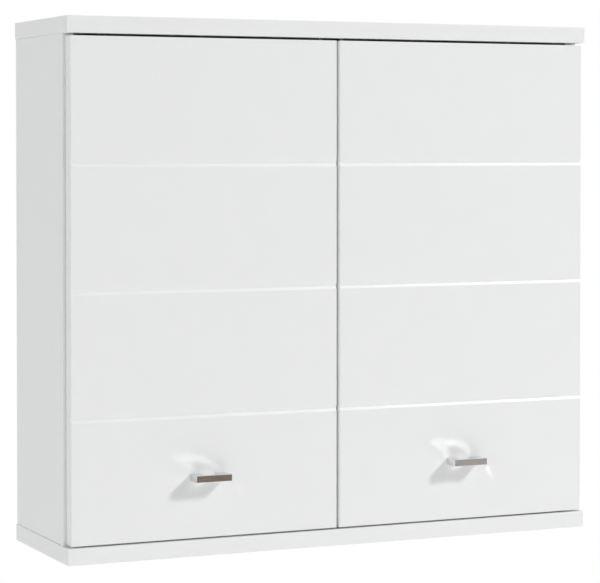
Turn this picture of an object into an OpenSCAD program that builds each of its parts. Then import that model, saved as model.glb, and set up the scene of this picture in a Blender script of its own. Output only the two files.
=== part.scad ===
// Hanging wall cabinet. Two doors hang between a top and a bottom board that run past them.
// X runs to the right, Y towards the wall and Z up. The wall is the plane Y = 0.
// The origin lies on the wall, in the middle of the four screw holes of the two wall plates.

/* [Carcass] */
// Width of the top and bottom boards, the widest part of the cabinet
cabinet_w = 695; // [600:1:900]
// Height over the top and bottom boards
cabinet_h = 640; // [620:1:760]
// Depth of the top and bottom boards, from the wall to their front edge
cabinet_d = 200; // [190:1:300]
// Thickness of the top and bottom boards
board_t = 20; // [18:0.5:22]
// Thickness of the side boards
side_t = 15; // [15:0.5:18]
// How far a side board stands in from the ends of the top and bottom boards
side_inset = 1.2; // [0:0.1:3]
// Thickness of the back panel
back_t = 3; // [3:0.5:4]
// Depth of the hollow behind the back panel, where the wall plates lie
back_recess = 15; // [12:1:20]

/* [Doors] */
// Thickness of a door
door_t = 18; // [18:0.5:22]
// How far a door's front face lies behind the front edges of the boards
door_setback = 1; // [0:0.5:4]
// How far a door's outer edge stands in from the ends of the boards
door_inset = 4.5; // [4:0.1:6]
// Gap between the top board and a door
gap_above_door = 3; // [2.5:0.1:5]
// Gap between the bottom board and a door
gap_below_door = 2; // [2:0.1:5]
// Gap between the two doors
gap_between_doors = 3; // [2.5:0.1:5]
// Gap between a door's back face and the side board's front edge
gap_behind_door = 2; // [2:0.1:4]
// Chamfer on a door's outer back edge, which swings past the side board
door_chamfer = 1.5; // [1.5:0.1:2]
// Width of a groove across a door
groove_w = 7; // [4:0.5:10]
// Depth of a groove
groove_depth = 1.6; // [1:0.1:3]
// Distance from a door's top edge to its highest groove
groove_from_top = 149.5; // [100:0.5:160]
// Distance from one groove to the next
groove_pitch = 149.5; // [120:0.5:160]
// Number of grooves across a door
groove_count = 3; // [1:1:3]

/* [Handles] */
// Width of a handle over its two legs
handle_w = 45; // [42:1:60]
// Height of a handle
handle_h = 8; // [6.5:0.1:12]
// How far a handle stands out from the door
handle_reach = 22.5; // [20:0.5:32]
// Thickness of a handle's front bar
handle_bar_t = 8; // [7:0.5:10]
// Width of the finger gap between a handle's legs
handle_gap_w = 19; // [16:1:22]
// Height of a handle's middle above the door's bottom edge
handle_rise = 73; // [40:1:120]

/* [Hinges] */
// Distance from a door's top or bottom edge to the middle of its hinge
hinge_inset = 96; // [80:1:120]
// Distance from a door's outer edge to its hinge pin
pin_from_edge = 7; // [6.9:0.05:7.1]
// Depth of the hinge pin below the door's back face
pin_from_back = 8.5; // [8.5:0.1:9]
// Radius of a hinge cup
cup_r = 17.5; // [17.5:0.1:18]
// Depth of a hinge cup
cup_depth = 12.5; // [12.5:0.1:13]
// Width of the door's edge beside a hinge cup
cup_edge = 3; // [3:0.1:3.5]

/* [Shelves] */
// Thickness of a shelf
shelf_t = 16; // [15:0.5:19]
// Height of the lower shelf's pins above the cabinet's underside
lower_pin_h = 215; // [200:1:240]
// Height of the upper shelf's pins above the cabinet's underside
upper_pin_h = 407; // [380:1:420]
// Distance to the spare pin holes above and below each shelf's pins
pin_pitch = 32; // [25:1:40]

/* [Wall plates] */
// Distance between the two columns of wall screws
wall_screw_w = 620; // [500:1:620]
// Distance between the upper and the lower wall screws
wall_screw_h = 25; // [24:1:28]
// Radius of a wall screw hole
wall_hole_r = 3; // [2.5:0.25:3.5]
// Width of a wall plate
plate_w = 40; // [36:1:40]

/* [Hidden] */
$fn = 48;
eps = 0.01;

// Wall plate, seen from its end: flat on the wall, then a step forward to the lip
sheet_t = 2;
lip_step = 5;
flat_top = 20;
flat_bottom = -26;
lip_foot = flat_top + lip_step;
lip_top = 36;

// Hanger in the corner under the top board
hook_bar_h = 10;
hook_t = 3;
hook_tip_t = 2.6;
hook_wall_gap = 1.5;
hook_drop = 10;
hook_inner_y = -42;
housing_w = 18;
housing_back_y = -9;
housing_front_y = -55;
housing_bottom = 0;
housing_top = lip_top + hook_bar_h + 12;
housing_top_gap = 2;
hook_slot_w = 3.8;
hook_slot_gap = 1.5;
hook_heel = 12;
hook_heel_w = 10;
hook_chamfer = 3;
peg_r = 4.9;
peg_len = 9;
peg_z = [12, 36];
peg_y = -32;
hanger_screw_r = 3;
hanger_screw_head_r = 4.2;
hanger_screw_head_t = 3;
hanger_screw_len = 9;
hanger_screw_z = [14, 44];
cover_t = 1.2;
cover_gap = 0.1;
cover_back_y = -(back_recess + back_t + 1);

// Carcass
top_z = housing_top + housing_top_gap + board_t;
base_z = top_z - cabinet_h;
roof_z = top_z - board_t;
floor_z = base_z + board_t;
side_out_x = cabinet_w / 2 - side_inset;
side_in_x = side_out_x - side_t;
side_mid_x = side_out_x - side_t / 2;
back_front_y = -(back_recess + back_t);
back_groove_depth = 5;
back_groove_fit = 0.1;
back_edge_gap = 1;
notch_w = housing_w + cover_t + 3;
notch_h = housing_top + housing_top_gap + 3;

// Doors
door_front_y = -cabinet_d + door_setback;
door_back_y = door_front_y + door_t;
side_front_y = door_back_y + gap_behind_door;
door_top_z = roof_z - gap_above_door;
door_bottom_z = floor_z + gap_below_door;
door_h = door_top_z - door_bottom_z;
door_out_x = cabinet_w / 2 - door_inset;
door_in_x = gap_between_doors / 2;
door_w = door_out_x - door_in_x;
door_mid_x = (door_out_x + door_in_x) / 2;

// Handles
handle_z = door_bottom_z + handle_rise;
handle_leg_w = (handle_w - handle_gap_w) / 2;
handle_hole_x = (handle_w - handle_leg_w) / 2;
handle_gap_d = handle_reach - handle_bar_t;
handle_corner_r = 3;
handle_screw_r = 1.95;
handle_screw_fit = 0.05;
handle_screw_in = 10;
handle_screw_head_r = 4;
handle_screw_head_t = 2.2;
handle_door_hole_r = 2.3;

// Hinges, from the pin outwards
pivot_x = door_out_x - pin_from_edge;
pivot_y = door_back_y - pin_from_back;
hinge_z = [door_top_z - hinge_inset, door_bottom_z + hinge_inset];
cup_x = door_out_x - cup_edge - cup_r;
cup_wall = 1;
cup_fit = 0.1;
pin_r = 1.2;
pin_fit = 0.05;
pin_len = 13;
knuckle_r = 2.5;
knuckle_w = 8;
foot_top = 0.2;
ear_gap = 0.5;
ear_t = 2;
ear_half_w = 2;
wing_t = 1.2;
wing_len = 18;
wing_w = 20;
wing_start = 12;
cup_screw_z = 24;
cup_screw_x_shift = 5.5;
cup_screw_r = 1.6;
cup_screw_hole_r = 1.8;
cup_screw_len = 11;
cup_screw_head_r = 3.2;
cup_screw_head_t = 1.6;
rail_h = 6.4;
rail_w = 13;
rail_front_y = side_front_y + 11;
rail_back_y = side_front_y + 61;
base_h = 2;
base_w = 16;
base_len = 48;
plate_screw_y = side_front_y + 37;
plate_screw_z = 16;
plate_screw_r = 2.4;
plate_screw_len = 11;
plate_screw_head_r = 3.6;
plate_screw_head_t = 1.8;
plate_screw_fit = 0.1;
neck_t = 3;
neck_w = 12;
neck_back_y = side_front_y + 7;
arm_h = 6.4;
arm_w = 14;
arm_screw_y = [side_front_y + 20, side_front_y + 50];
arm_screw_r = 2.4;
arm_screw_head_r = 3.4;
arm_screw_head_t = 1.6;

// Door stops and bumpers
stop_x = 14.6;
stop_r = 2;
stop_drop = 11;
stop_in = 8;
bumper_r = 4;
bumper_t = 1.6;
bumper_from_top = 4.5;
stop_gap = 0.4;
stop_y = door_back_y + bumper_t + stop_gap + stop_r;

// Shelves and shelf pins
pin_y = [side_front_y + 37, back_front_y - 37];
pin_hole_r = 2.5;
pin_hole_depth = 9.5;
pin_peg_r = 2.45;
pin_peg_len = 9;
pin_tab_len = 9;
pin_tab_w = 8;
pin_tab_t = 3;
pin_collar_r = 3;
pin_collar_t = 1;
shelf_lift = 3;
shelf_side_gap = 1;
shelf_back_gap = 2;
shelf_front_gap = 5;

// Cam fittings and dowels that join a side board to the top and bottom boards
cam_y = [side_front_y + 24, side_front_y + 99];
dowel_y = [side_front_y + 64, -30];
cam_from_end = 24;
cam_r = 7.4;
cam_hole_r = 7.5;
cam_depth = 12;
cam_hole_depth = 12.5;
cam_bore_r = 3.9;
cam_bore_past = 4;
bolt_head_r = 3.4;
bolt_head_past = 2.5;
bolt_head_len = 4;
bolt_shank_r = 2.9;
bolt_thread_r = 2.45;
bolt_hole_r = 4;
bolt_thread_hole_r = 2.5;
bolt_thread_in = 11;
cap_r = 8.5;
cap_t = 1.2;
cap_edge = 0.6;
dowel_r = 4;
dowel_hole_r = 4.05;
dowel_half = 14;
dowel_hole_half = 15;

// Screw recesses
cross_w = 0.9;
cross_depth = 0.9;

white = "whitesmoke";
steel = "silver";
chrome = "gainsboro";
zinc = "darkgray";
beech = "burlywood";
clear_gum = "lightcyan";

// A cylinder from a point, along +X, +Y or +Z
module rod_x(r, l) { rotate([0, 90, 0]) cylinder(r = r, h = l); }
module rod_y(r, l) { rotate([-90, 0, 0]) cylinder(r = r, h = l); }

// The cross recess of a screw, cut down from z = 0
module cross_recess(w) {
    for (turn = [0, 90])
        rotate([0, 0, turn])
            translate([-w, -cross_w / 2, -cross_depth]) cube([2 * w, cross_w, cross_depth + eps]);
}

// A pan-head screw: its head stands above z = 0 and its shank goes down
module pan_screw(shank_r, shank_l, head_r, head_t) {
    difference() {
        union() {
            translate([0, 0, -shank_l]) cylinder(r = shank_r, h = shank_l + eps);
            cylinder(r1 = head_r, r2 = head_r * 0.8, h = head_t);
        }
        translate([0, 0, head_t]) cross_recess(head_r * 0.55);
    }
}

// Places a left-hand child on the left, or its mirror image on the right
module on_side(side) {
    if (side == "right") mirror([1, 0, 0]) children();
    else children();
}

// ---- Carcass ----

// Holes in a top or bottom board, measured up from the face that meets the side boards
module end_joint_holes() {
    for (x = [-side_mid_x, side_mid_x]) {
        for (y = cam_y)
            translate([x, y, -eps]) cylinder(r = bolt_thread_hole_r, h = bolt_thread_in + eps);
        for (y = dowel_y)
            translate([x, y, -eps]) cylinder(r = dowel_hole_r, h = dowel_hole_half + eps);
    }
}

// Groove for the back panel's edge, open towards -Z
module back_groove_long() {
    groove_t = back_t + 2 * back_groove_fit;
    groove_l = 2 * (side_in_x + back_groove_depth);
    translate([-groove_l / 2, back_front_y - back_groove_fit, -eps])
        cube([groove_l, groove_t, back_groove_depth + eps]);
}

module board_blank() {
    translate([-cabinet_w / 2, -cabinet_d, 0]) cube([cabinet_w, cabinet_d, board_t]);
}

module top_board() {
    color(white) translate([0, 0, roof_z]) difference() {
        board_blank();
        end_joint_holes();
        back_groove_long();
        for (x = [-stop_x, stop_x])
            translate([x, stop_y, -eps]) cylinder(r = stop_r + pin_fit, h = stop_in + eps);
    }
}

module bottom_board() {
    color(white) translate([0, 0, floor_z]) mirror([0, 0, 1]) difference() {
        board_blank();
        end_joint_holes();
        back_groove_long();
    }
}

// Holes of one end of a left side board, with the board above z = 0
module side_end_holes() {
    for (y = cam_y) {
        translate([-side_in_x - cam_hole_depth, y, cam_from_end])
            rod_x(cam_hole_r, cam_hole_depth + eps);
        translate([-side_mid_x, y, -eps]) cylinder(r = bolt_hole_r, h = cam_from_end);
    }
    for (y = dowel_y)
        translate([-side_mid_x, y, -eps]) cylinder(r = dowel_hole_r, h = dowel_hole_half + eps);
}

module side_board_left() {
    groove_t = back_t + 2 * back_groove_fit;
    difference() {
        translate([-side_out_x, side_front_y, floor_z])
            cube([side_t, -side_front_y, roof_z - floor_z]);
        translate([0, 0, floor_z]) side_end_holes();
        translate([0, 0, roof_z]) mirror([0, 0, 1]) side_end_holes();
        translate([-side_in_x - back_groove_depth, back_front_y - back_groove_fit, floor_z - eps])
            cube([back_groove_depth + eps, groove_t, roof_z - floor_z + 2 * eps]);
        for (y = pin_y, h = [lower_pin_h, upper_pin_h], step = [-1 : 1])
            translate([-side_in_x - pin_hole_depth, y, base_z + h + step * pin_pitch])
                rod_x(pin_hole_r, pin_hole_depth + eps);
        for (z = hinge_z, dz = [-plate_screw_z, plate_screw_z])
            translate([-side_in_x - plate_screw_len, plate_screw_y, z + dz])
                rod_x(plate_screw_r + plate_screw_fit, plate_screw_len + eps);
        for (z = peg_z)
            translate([-side_in_x - peg_len - back_groove_fit, peg_y, z])
                rod_x(peg_r + back_groove_fit, peg_len + back_groove_fit + eps);
    }
}

module left_side_board() { color(white) side_board_left(); }
module right_side_board() { color(white) on_side("right") side_board_left(); }

module back_panel() {
    half_w = side_in_x + back_groove_depth - back_edge_gap;
    bottom = floor_z - back_groove_depth + back_edge_gap;
    top = roof_z + back_groove_depth - back_edge_gap;
    color(white) difference() {
        translate([-half_w, back_front_y, bottom]) cube([2 * half_w, back_t, top - bottom]);
        for (side = ["left", "right"]) on_side(side)
            translate([-side_in_x - back_groove_depth, back_front_y - eps, roof_z - notch_h])
                cube([notch_w + back_groove_depth, back_t + 2 * eps, notch_h + board_t]);
    }
}

module shelf(pin_h) {
    front = side_front_y + shelf_front_gap;
    half_w = side_in_x - shelf_side_gap;
    translate([-half_w, front, base_z + pin_h + shelf_lift])
        cube([2 * half_w, back_front_y - shelf_back_gap - front, shelf_t]);
}

module upper_shelf() { color(white) shelf(upper_pin_h); }
module lower_shelf() { color(white) shelf(lower_pin_h); }

// A shelf pin in the left side board: a peg with a flat tab under the shelf
module shelf_pin() {
    translate([-pin_peg_len, 0, 0]) rod_x(pin_peg_r, pin_peg_len + pin_tab_len);
    translate([0, -pin_tab_w / 2, shelf_lift - pin_tab_t]) cube([pin_tab_len, pin_tab_w, pin_tab_t]);
    rod_x(pin_collar_r, pin_collar_t);
}

module shelf_pins() {
    color(steel) for (side = ["left", "right"], y = pin_y, h = [lower_pin_h, upper_pin_h])
        on_side(side) translate([-side_in_x, y, base_z + h]) shelf_pin();
}

// Calls its children at the foot of each cam joint, with the side board above z = 0
module at_cam_joints(places) {
    for (side = ["left", "right"], y = places) on_side(side) {
        translate([-side_mid_x, y, floor_z]) children();
        translate([-side_mid_x, y, roof_z]) mirror([0, 0, 1]) children();
    }
}

module cam_bolts() {
    head_z = cam_from_end - bolt_head_past;
    color(steel) at_cam_joints(cam_y) {
        translate([0, 0, head_z]) cylinder(r = bolt_head_r, h = bolt_head_len);
        cylinder(r = bolt_shank_r, h = head_z);
        translate([0, 0, 1 - bolt_thread_in]) cylinder(r = bolt_thread_r, h = bolt_thread_in);
    }
}

module cam_locks() {
    color(zinc) at_cam_joints(cam_y) difference() {
        translate([side_t / 2 - cam_depth, 0, cam_from_end]) rod_x(cam_r, cam_depth);
        translate([0, 0, cam_from_end - cam_r - 1]) cylinder(r = cam_bore_r, h = cam_r + 1 + cam_bore_past);
        translate([side_t / 2, 0, cam_from_end]) rotate([0, 90, 0]) cross_recess(cam_r * 0.5);
    }
}

module cam_caps() {
    color(white) at_cam_joints(cam_y) translate([side_t / 2, 0, cam_from_end]) rotate([0, 90, 0]) {
        cylinder(r = cap_r, h = cap_t - cap_edge);
        translate([0, 0, cap_t - cap_edge]) cylinder(r1 = cap_r, r2 = cap_r - cap_edge, h = cap_edge);
    }
}

module wood_dowels() {
    color(beech) at_cam_joints(dowel_y)
        translate([0, 0, -dowel_half]) cylinder(r = dowel_r, h = 2 * dowel_half);
}

module door_stop_pins() {
    color(white) for (x = [-stop_x, stop_x])
        translate([x, stop_y, roof_z - stop_drop]) cylinder(r = stop_r, h = stop_drop + stop_in - 1);
}

// ---- Hangers and wall plates ----

module hanger_housing_left() {
    slot_bottom = lip_top - hook_heel - 2 * hook_slot_gap;
    slot_top = lip_top + hook_bar_h + hook_slot_gap;
    mid_x = housing_w / 2;
    difference() {
        union() {
            translate([-side_in_x, housing_front_y, housing_bottom])
                cube([housing_w, housing_back_y - housing_front_y, housing_top - housing_bottom]);
            for (z = peg_z)
                translate([-side_in_x - peg_len, peg_y, z]) rod_x(peg_r, peg_len + eps);
        }
        translate([-side_in_x + mid_x - hook_slot_w / 2, hook_inner_y - hook_slot_gap, slot_bottom])
            cube([hook_slot_w, -hook_inner_y, slot_top - slot_bottom]);
        for (z = hanger_screw_z)
            translate([-side_in_x + mid_x, housing_front_y - eps, z])
                rod_y(hanger_screw_r + 0.1, hanger_screw_len + 2);
    }
}

// The hook plate stands on edge: a bar out of the housing with its tip behind the wall plate's lip
module hanger_hook_left() {
    tip_back = -hook_wall_gap;
    tip_front = tip_back - hook_tip_t;
    translate([-side_in_x + housing_w / 2 - hook_t / 2, 0, 0])
        rotate([90, 0, 90]) linear_extrude(height = hook_t) polygon([
            [tip_back, lip_top + hook_bar_h - hook_chamfer],
            [tip_back - hook_chamfer, lip_top + hook_bar_h],
            [hook_inner_y, lip_top + hook_bar_h],
            [hook_inner_y, lip_top - hook_heel],
            [hook_inner_y + hook_heel_w, lip_top - hook_heel],
            [hook_inner_y + hook_heel_w + hook_heel / 2, lip_top],
            [tip_front, lip_top],
            [tip_front, lip_top - hook_drop + 1],
            [tip_front + 1, lip_top - hook_drop],
            [tip_back, lip_top - hook_drop]
        ]);
}

module hanger_screws_left() {
    for (z = hanger_screw_z)
        translate([-side_in_x + housing_w / 2, housing_front_y, z]) rotate([90, 0, 0])
            pan_screw(hanger_screw_r, hanger_screw_len, hanger_screw_head_r, hanger_screw_head_t);
}

// The cover slips over the housing from the front
module hanger_cover_left() {
    grow = cover_gap + cover_t;
    difference() {
        translate([-side_in_x, housing_front_y - grow - hanger_screw_head_t, housing_bottom - grow])
            cube([housing_w + grow, cover_back_y - housing_front_y + grow + hanger_screw_head_t,
                  housing_top - housing_bottom + 2 * grow]);
        translate([-side_in_x - eps, housing_front_y - cover_gap - hanger_screw_head_t,
                   housing_bottom - cover_gap])
            cube([housing_w + cover_gap + eps, cover_back_y - housing_front_y + grow + hanger_screw_head_t,
                  housing_top - housing_bottom + 2 * cover_gap]);
    }
}

module wall_plate_left() {
    centre_x = -wall_screw_w / 2;
    difference() {
        translate([centre_x - plate_w / 2, 0, 0])
            rotate([90, 0, 90]) linear_extrude(height = plate_w) polygon([
                [0, flat_bottom], [0, flat_top], [-lip_step, lip_foot], [-lip_step, lip_top],
                [-lip_step - sheet_t, lip_top], [-lip_step - sheet_t, lip_foot - 1],
                [-sheet_t, flat_top - 1], [-sheet_t, flat_bottom]
            ]);
        for (dz = [-wall_screw_h / 2, wall_screw_h / 2])
            translate([centre_x, -sheet_t - 1, dz]) rod_y(wall_hole_r, sheet_t + 2);
    }
}

module left_hanger_housing() { color(white) hanger_housing_left(); }
module left_hanger_hook() { color(steel) hanger_hook_left(); }
module left_hanger_screws() { color(steel) hanger_screws_left(); }
module left_hanger_cover() { color(white) hanger_cover_left(); }
module right_hanger_housing() { color(white) on_side("right") hanger_housing_left(); }
module right_hanger_hook() { color(steel) on_side("right") hanger_hook_left(); }
module right_hanger_screws() { color(steel) on_side("right") hanger_screws_left(); }
module right_hanger_cover() { color(white) on_side("right") hanger_cover_left(); }
module left_wall_plate() { color(zinc) wall_plate_left(); }
module right_wall_plate() { color(zinc) on_side("right") wall_plate_left(); }

// ---- Hinges, carcass side ----

// Mounting plate on the left side board: a cross-shaped base with a raised rail
module hinge_plate(z) {
    difference() {
        union() {
            translate([-side_in_x, rail_front_y, z - rail_w / 2])
                cube([rail_h, rail_back_y - rail_front_y, rail_w]);
            translate([-side_in_x, plate_screw_y - base_w / 2, z - base_len / 2])
                cube([base_h, base_w, base_len]);
        }
        for (dz = [-plate_screw_z, plate_screw_z])
            translate([-side_in_x - eps, plate_screw_y, z + dz])
                rod_x(plate_screw_r + plate_screw_fit, base_h + 2 * eps);
        for (y = arm_screw_y)
            translate([-side_in_x - eps, y, z]) rod_x(arm_screw_r + plate_screw_fit, rail_h + 2 * eps);
    }
}

// Hinge arm: a body over the rail, a thin neck past the door's edge and a foot back to the pin
module hinge_arm(z) {
    neck_x = -side_in_x + rail_h;
    difference() {
        union() {
            translate([-pivot_x, pivot_y, z - knuckle_w / 2]) cylinder(r = knuckle_r, h = knuckle_w);
            translate([-pivot_x, pivot_y - knuckle_r, z - knuckle_w / 2])
                cube([neck_x + neck_t + pivot_x, knuckle_r + foot_top, knuckle_w]);
            translate([neck_x, pivot_y - knuckle_r, z - neck_w / 2])
                cube([neck_t, neck_back_y - pivot_y + knuckle_r, neck_w]);
            translate([neck_x, neck_back_y - neck_t, z - arm_w / 2])
                cube([arm_h, rail_back_y - neck_back_y + neck_t, arm_w]);
        }
        translate([-pivot_x, pivot_y, z - knuckle_w]) cylinder(r = pin_r + pin_fit, h = 2 * knuckle_w);
        for (y = arm_screw_y)
            translate([neck_x - eps, y, z]) rod_x(arm_screw_r + plate_screw_fit, arm_h + 2 * eps);
    }
}

module left_upper_hinge_plate() { color(steel) hinge_plate(hinge_z[0]); }
module left_lower_hinge_plate() { color(steel) hinge_plate(hinge_z[1]); }
module right_upper_hinge_plate() { color(steel) on_side("right") hinge_plate(hinge_z[0]); }
module right_lower_hinge_plate() { color(steel) on_side("right") hinge_plate(hinge_z[1]); }
module left_upper_hinge_arm() { color(steel) hinge_arm(hinge_z[0]); }
module left_lower_hinge_arm() { color(steel) hinge_arm(hinge_z[1]); }
module right_upper_hinge_arm() { color(steel) on_side("right") hinge_arm(hinge_z[0]); }
module right_lower_hinge_arm() { color(steel) on_side("right") hinge_arm(hinge_z[1]); }

module hinge_plate_screws() {
    color(steel) for (side = ["left", "right"], z = hinge_z, dz = [-plate_screw_z, plate_screw_z])
        on_side(side) translate([-side_in_x + base_h, plate_screw_y, z + dz]) rotate([0, 90, 0])
            pan_screw(plate_screw_r, plate_screw_len, plate_screw_head_r, plate_screw_head_t);
}

module hinge_arm_screws() {
    color(steel) for (side = ["left", "right"], z = hinge_z, y = arm_screw_y)
        on_side(side) translate([-side_in_x + rail_h + arm_h, y, z]) rotate([0, 90, 0])
            pan_screw(arm_screw_r, rail_h + arm_h - 1, arm_screw_head_r, arm_screw_head_t);
}

// ---- Doors ----

module door_board_left() {
    difference() {
        translate([0, 0, door_bottom_z]) linear_extrude(height = door_h) polygon([
            [-door_out_x, door_front_y],
            [-door_in_x, door_front_y],
            [-door_in_x, door_back_y],
            [-door_out_x + door_chamfer, door_back_y],
            [-door_out_x, door_back_y - door_chamfer]
        ]);
        for (i = [0 : groove_count - 1])
            translate([-door_out_x - 1, door_front_y, door_top_z - groove_from_top - i * groove_pitch])
                rotate([90, 0, 90]) linear_extrude(height = door_w + 2)
                    polygon([[-eps, -groove_w / 2], [groove_depth, 0], [-eps, groove_w / 2]]);
        for (z = hinge_z) {
            translate([-cup_x, door_back_y - cup_depth - cup_fit, z])
                rod_y(cup_r + cup_fit, cup_depth + cup_fit + eps);
            for (dz = [-cup_screw_z, cup_screw_z])
                translate([-cup_x + cup_screw_x_shift, door_back_y - cup_screw_len, z + dz])
                    rod_y(cup_screw_r + cup_fit, cup_screw_len + eps);
        }
        for (dx = [-handle_hole_x, handle_hole_x])
            translate([-door_mid_x + dx, door_front_y - 1, handle_z])
                rod_y(handle_door_hole_r, door_t + 2);
    }
}

// Bow handle, seen from above: a bar on two legs round the finger gap
module handle_outline() {
    r = handle_corner_r;
    difference() {
        translate([-handle_w / 2, -handle_reach]) square([handle_w, handle_reach]);
        translate([-handle_gap_w / 2, -handle_gap_d + r]) square([handle_gap_w, handle_gap_d]);
        translate([-handle_gap_w / 2 + r, -handle_gap_d]) square([handle_gap_w - 2 * r, handle_gap_d]);
        for (s = [-1, 1])
            translate([s * (handle_gap_w / 2 - r), -handle_gap_d + r]) circle(r = r);
    }
}

module handle_left() {
    translate([-door_mid_x, door_front_y, handle_z]) difference() {
        translate([0, 0, -handle_h / 2]) linear_extrude(height = handle_h) handle_outline();
        for (dx = [-handle_hole_x, handle_hole_x])
            translate([dx, -handle_screw_in - 1, 0])
                rod_y(handle_screw_r + handle_screw_fit, handle_screw_in + 2);
    }
}

module handle_screws_left() {
    for (dx = [-handle_hole_x, handle_hole_x])
        translate([-door_mid_x + dx, door_back_y, handle_z]) rotate([-90, 0, 0])
            pan_screw(handle_screw_r, door_t + handle_screw_in, handle_screw_head_r, handle_screw_head_t);
}

// Hinge cup let into the door's back face, with two wings and two ears that hold the pin
module hinge_cup(z) {
    inside_r = cup_r - cup_wall;
    ear_start = knuckle_w / 2 + ear_gap;
    floor_y = door_back_y - cup_depth;
    translate([0, 0, z]) difference() {
        union() {
            difference() {
                translate([-cup_x, floor_y, 0]) rod_y(cup_r, cup_depth);
                translate([-cup_x, floor_y + cup_wall, 0]) rod_y(inside_r, cup_depth);
            }
            for (up = [-1, 1])
                translate([-pivot_x - ear_half_w, floor_y + cup_wall / 2,
                           up * (ear_start + ear_t / 2) - ear_t / 2])
                    cube([2 * ear_half_w, pivot_y + ear_half_w - floor_y - cup_wall / 2, ear_t]);
            for (up = [-1, 1])
                translate([-cup_x + cup_screw_x_shift - wing_w / 2, door_back_y,
                           up * (wing_start + wing_len / 2) - wing_len / 2])
                    cube([wing_w, wing_t, wing_len]);
        }
        translate([-pivot_x, pivot_y, -pin_len / 2 - eps]) cylinder(r = pin_r, h = pin_len + 2 * eps);
        for (dz = [-cup_screw_z, cup_screw_z])
            translate([-cup_x + cup_screw_x_shift, door_back_y - eps, dz])
                rod_y(cup_screw_hole_r, wing_t + 2 * eps);
    }
}

module hinge_pins_left() {
    for (z = hinge_z) translate([-pivot_x, pivot_y, z - pin_len / 2]) cylinder(r = pin_r, h = pin_len);
}

module cup_screws_left() {
    for (z = hinge_z, dz = [-cup_screw_z, cup_screw_z])
        translate([-cup_x + cup_screw_x_shift, door_back_y + wing_t, z + dz]) rotate([-90, 0, 0])
            pan_screw(cup_screw_r, cup_screw_len, cup_screw_head_r, cup_screw_head_t);
}

module bumper_left() {
    translate([-stop_x, door_back_y, door_top_z - bumper_from_top]) rod_y(bumper_r, bumper_t);
}

module left_door_board() { color(white) door_board_left(); }
module left_handle() { color(chrome) handle_left(); }
module left_handle_screws() { color(steel) handle_screws_left(); }
module left_upper_hinge_cup() { color(steel) hinge_cup(hinge_z[0]); }
module left_lower_hinge_cup() { color(steel) hinge_cup(hinge_z[1]); }
module left_hinge_pins() { color(zinc) hinge_pins_left(); }
module left_cup_screws() { color(steel) cup_screws_left(); }
module left_bumper() { color(clear_gum) bumper_left(); }
module right_door_board() { color(white) on_side("right") door_board_left(); }
module right_handle() { color(chrome) on_side("right") handle_left(); }
module right_handle_screws() { color(steel) on_side("right") handle_screws_left(); }
module right_upper_hinge_cup() { color(steel) on_side("right") hinge_cup(hinge_z[0]); }
module right_lower_hinge_cup() { color(steel) on_side("right") hinge_cup(hinge_z[1]); }
module right_hinge_pins() { color(zinc) on_side("right") hinge_pins_left(); }
module right_cup_screws() { color(steel) on_side("right") cup_screws_left(); }
module right_bumper() { color(clear_gum) on_side("right") bumper_left(); }

top_board();
bottom_board();
left_side_board();
right_side_board();
back_panel();
upper_shelf();
lower_shelf();
shelf_pins();
cam_bolts();
cam_locks();
cam_caps();
wood_dowels();
door_stop_pins();
left_hanger_housing();
left_hanger_hook();
left_hanger_screws();
left_hanger_cover();
right_hanger_housing();
right_hanger_hook();
right_hanger_screws();
right_hanger_cover();
left_wall_plate();
right_wall_plate();
left_upper_hinge_plate();
left_lower_hinge_plate();
right_upper_hinge_plate();
right_lower_hinge_plate();
left_upper_hinge_arm();
left_lower_hinge_arm();
right_upper_hinge_arm();
right_lower_hinge_arm();
hinge_plate_screws();
hinge_arm_screws();
left_door_board();
left_handle();
left_handle_screws();
left_upper_hinge_cup();
left_lower_hinge_cup();
left_hinge_pins();
left_cup_screws();
left_bumper();
right_door_board();
right_handle();
right_handle_screws();
right_upper_hinge_cup();
right_lower_hinge_cup();
right_hinge_pins();
right_cup_screws();
right_bumper();
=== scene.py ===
import math

import bmesh
import bpy
from mathutils import Matrix, Vector


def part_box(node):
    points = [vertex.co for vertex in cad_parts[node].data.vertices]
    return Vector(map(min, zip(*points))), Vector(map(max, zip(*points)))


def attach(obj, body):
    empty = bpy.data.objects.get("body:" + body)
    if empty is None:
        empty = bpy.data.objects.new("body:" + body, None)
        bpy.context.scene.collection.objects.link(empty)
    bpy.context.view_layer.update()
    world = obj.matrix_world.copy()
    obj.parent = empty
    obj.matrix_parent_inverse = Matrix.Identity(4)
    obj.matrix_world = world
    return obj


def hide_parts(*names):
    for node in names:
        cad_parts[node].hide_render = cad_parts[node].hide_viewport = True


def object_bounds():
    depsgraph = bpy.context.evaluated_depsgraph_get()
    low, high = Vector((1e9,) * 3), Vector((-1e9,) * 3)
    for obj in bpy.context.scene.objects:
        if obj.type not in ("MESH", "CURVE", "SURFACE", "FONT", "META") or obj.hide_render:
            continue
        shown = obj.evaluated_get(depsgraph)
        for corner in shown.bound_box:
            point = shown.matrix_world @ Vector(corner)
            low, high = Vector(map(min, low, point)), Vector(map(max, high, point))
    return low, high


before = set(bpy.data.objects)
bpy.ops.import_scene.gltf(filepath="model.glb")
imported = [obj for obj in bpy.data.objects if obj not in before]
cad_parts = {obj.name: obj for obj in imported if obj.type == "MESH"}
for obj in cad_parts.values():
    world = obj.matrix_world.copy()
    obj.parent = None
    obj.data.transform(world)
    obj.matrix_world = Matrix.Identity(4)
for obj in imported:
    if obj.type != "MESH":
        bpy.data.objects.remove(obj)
cadLow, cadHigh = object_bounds()
mm = 0.001
near = 0.01 * mm  # places closer than this count as the same
clean = {"weld": 0.002, "flat": 0.5, "fold": 35}  # mm, degrees, degrees
print("frame loaded:", len(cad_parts), "nodes")


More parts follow.
